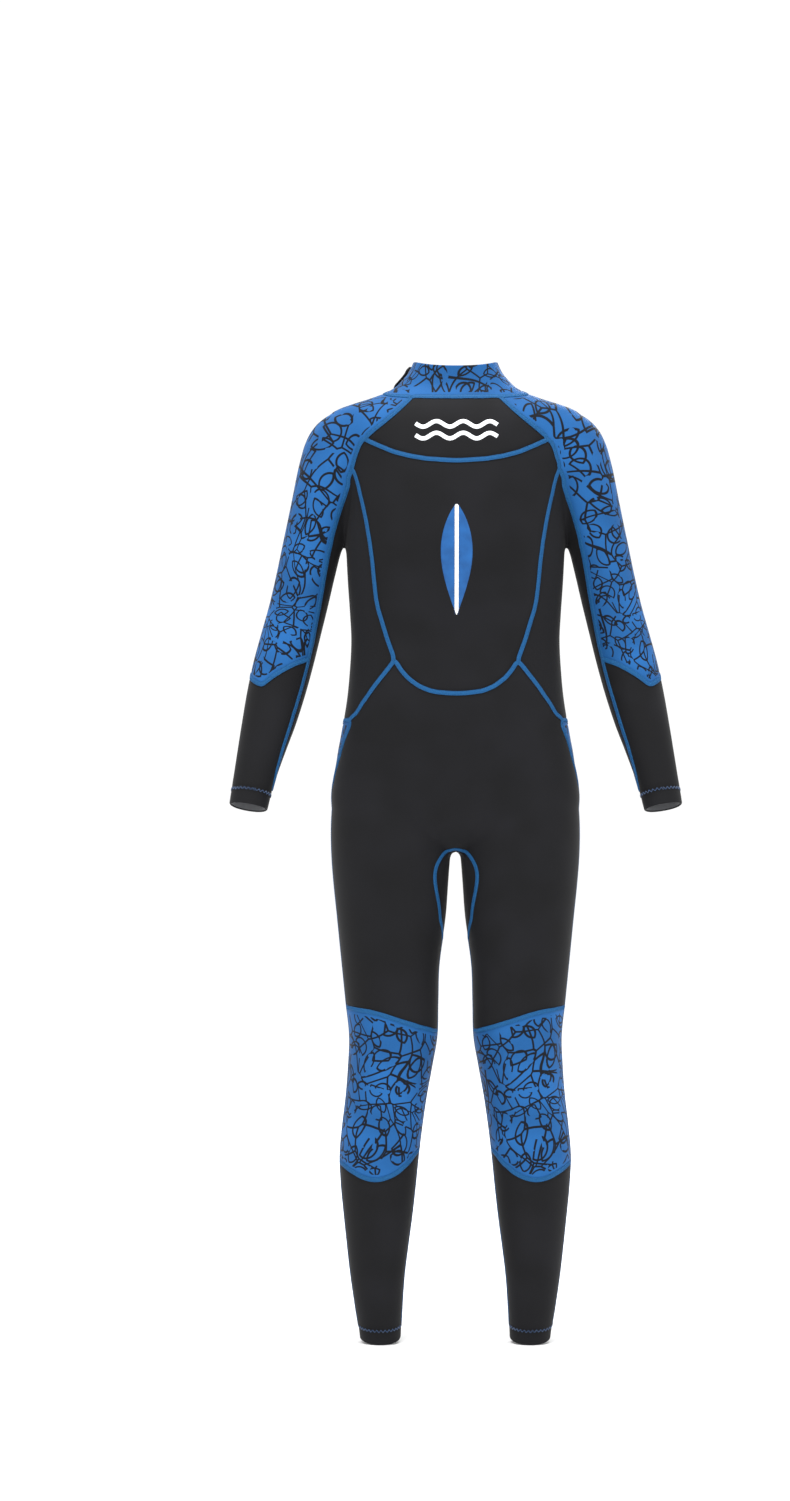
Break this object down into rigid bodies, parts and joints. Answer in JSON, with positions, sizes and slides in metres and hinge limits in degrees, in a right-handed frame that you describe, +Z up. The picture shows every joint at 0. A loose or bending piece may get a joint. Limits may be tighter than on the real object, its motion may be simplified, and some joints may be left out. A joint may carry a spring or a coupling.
{
  "type": "full wetsuit",
  "caption": "Child's full-length neoprene wetsuit with long sleeves, flatlocked panels, printed knee and sleeve panels, a back zip with a slider and a stand collar with a hook-and-loop tab.",
  "frame": {"origin": "on the ground, midway between the two ankle hems", "axes": "+Z up from the ankle hems to the collar, the front of the suit faces -Y, +X is the wearer's left"},
  "size_m": [0.5148, 0.1686, 1.12],
  "materials": {
    "neoprene_print": "printed jersey-faced neoprene",
    "tab_black": "matt jersey-faced neoprene",
    "hook_tape": "moulded hooks",
    "loop_tape": "brushed loops",
    "neoprene_black": "matt jersey-faced neoprene",
    "zip_tape": "woven tape",
    "zip_teeth": "moulded teeth",
    "zip_metal": "black enamelled slider and pull",
    "lining": "grey jersey",
    "film_white": "white transfer film",
    "film_blue": "blue transfer film",
    "seam_thread": "flatlock thread"
  },
  "bodies": {
    "suit": {"collar": "neoprene_print", "loop_patch": "loop_tape", "chest_yoke": "neoprene_black", "chest_panel": "neoprene_black", "front_panel": "neoprene_black", "side_panel_right": "neoprene_black", "side_panel_left": "neoprene_black", "hip_panel_right": "neoprene_print", "hip_panel_left": "neoprene_print", "sleeve_right": "neoprene_print", "sleeve_left": "neoprene_print", "forearm_panel_right": "neoprene_black", "forearm_panel_left": "neoprene_black", "wrist_hem_right": "neoprene_black", "wrist_hem_left": "neoprene_black", "crotch_gusset": "neoprene_black", "knee_panel_right": "neoprene_print", "knee_panel_left": "neoprene_print", "shin_panel_right": "neoprene_black", "shin_panel_left": "neoprene_black", "back_leg_right": "neoprene_black", "back_leg_left": "neoprene_black", "ankle_hem_right": "neoprene_black", "ankle_hem_left": "neoprene_black", "seat_panel": "neoprene_black", "back_panel_right": "neoprene_black", "back_panel_left": "neoprene_black", "zip_tape_right": "zip_tape", "zip_tape_left": "zip_tape", "zip_teeth_right": "zip_teeth", "zip_teeth_left": "zip_teeth", "zip_stops": "zip_teeth", "zip_end_patch": "neoprene_black", "zip_baffle": "lining", "yoke_mark": "film_white", "chest_mark": "film_blue", "chest_mark_stripe": "film_white", "seam_collar": "seam_thread", "seam_yoke": "seam_thread", "seam_chest": "seam_thread", "seam_gusset": "seam_thread", "seam_back": "seam_thread", "seam_back_side_right": "seam_thread", "seam_back_side_left": "seam_thread", "seam_sleeve_right": "seam_thread", "seam_sleeve_left": "seam_thread", "seam_hip_right": "seam_thread", "seam_hip_left": "seam_thread", "seam_knee_right": "seam_thread", "seam_knee_left": "seam_thread", "seam_leg_right": "seam_thread", "seam_leg_left": "seam_thread", "seam_forearm_right": "seam_thread", "seam_forearm_left": "seam_thread"},
    "slider": {"zip_slider": "zip_metal"},
    "pull": {"zip_pull": "zip_metal"},
    "tab": {"collar_tab": "tab_black", "hook_patch": "hook_tape"}
  },
  "joints": [
    {"name": "zip_slide", "type": "slide", "parent": "suit", "child": "slider", "axis": [0, 0.0213, -0.9998], "range_m": [0, 0.3315]},
    {"name": "pull_hinge", "type": "hinge", "parent": "slider", "child": "pull", "pos_m": [0, 0.06528, 1.06106], "axis": [1, 0, 0], "range_deg": [0, 165]},
    {"name": "tab_hinge", "type": "hinge", "parent": "suit", "child": "tab", "pos_m": [0.0142, 0.0506, 1.105], "axis": [0, 0.3099, -0.9508], "range_deg": [0, 120]}
  ]
}
